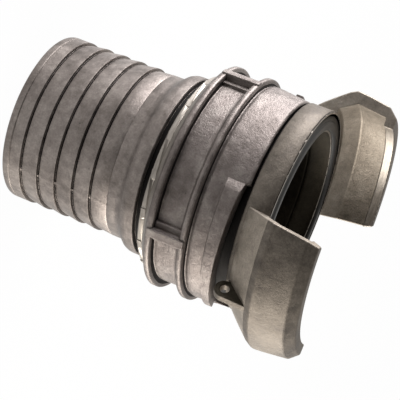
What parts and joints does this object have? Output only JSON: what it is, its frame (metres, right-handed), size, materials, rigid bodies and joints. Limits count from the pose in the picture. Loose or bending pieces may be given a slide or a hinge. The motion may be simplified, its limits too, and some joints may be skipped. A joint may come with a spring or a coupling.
{
  "type": "quarter turn fire hose coupling",
  "caption": "Symmetrical claw coupling half in cast stainless steel, with a ribbed hose tail, a swivelling clawed head, a quarter turn locking ring and a flat face seal.",
  "frame": {"origin": "on the axis, at the hose end of the tail, where the part stands", "axes": "+Z along the axis, from the hose end towards the claws; the claws stand at +X and -X, and the chain lug is at +X"},
  "size_m": [0.16, 0.1366, 0.199],
  "materials": {
    "turned_steel": "cast and lightly turned, matt",
    "wire_steel": "drawn",
    "cast_steel": "investment cast, blasted",
    "seal_rubber": "matt"
  },
  "bodies": {
    "tail": {"hose_tail": "turned_steel", "swivel_wire": "wire_steel", "swivel_o_ring": "seal_rubber"},
    "head": {"claw_head": "cast_steel", "face_seal": "seal_rubber"},
    "ring": {"locking_ring": "cast_steel"}
  },
  "joints": [
    {"name": "head_swivel", "type": "hinge", "parent": "tail", "child": "head", "pos_m": [0, 0, 0.121], "axis": [0, 0, 1], "continuous": true},
    {"name": "ring_turn", "type": "hinge", "parent": "head", "child": "ring", "pos_m": [0, 0, 0.121], "axis": [0, 0, 1], "range_deg": [0, 90]}
  ]
}
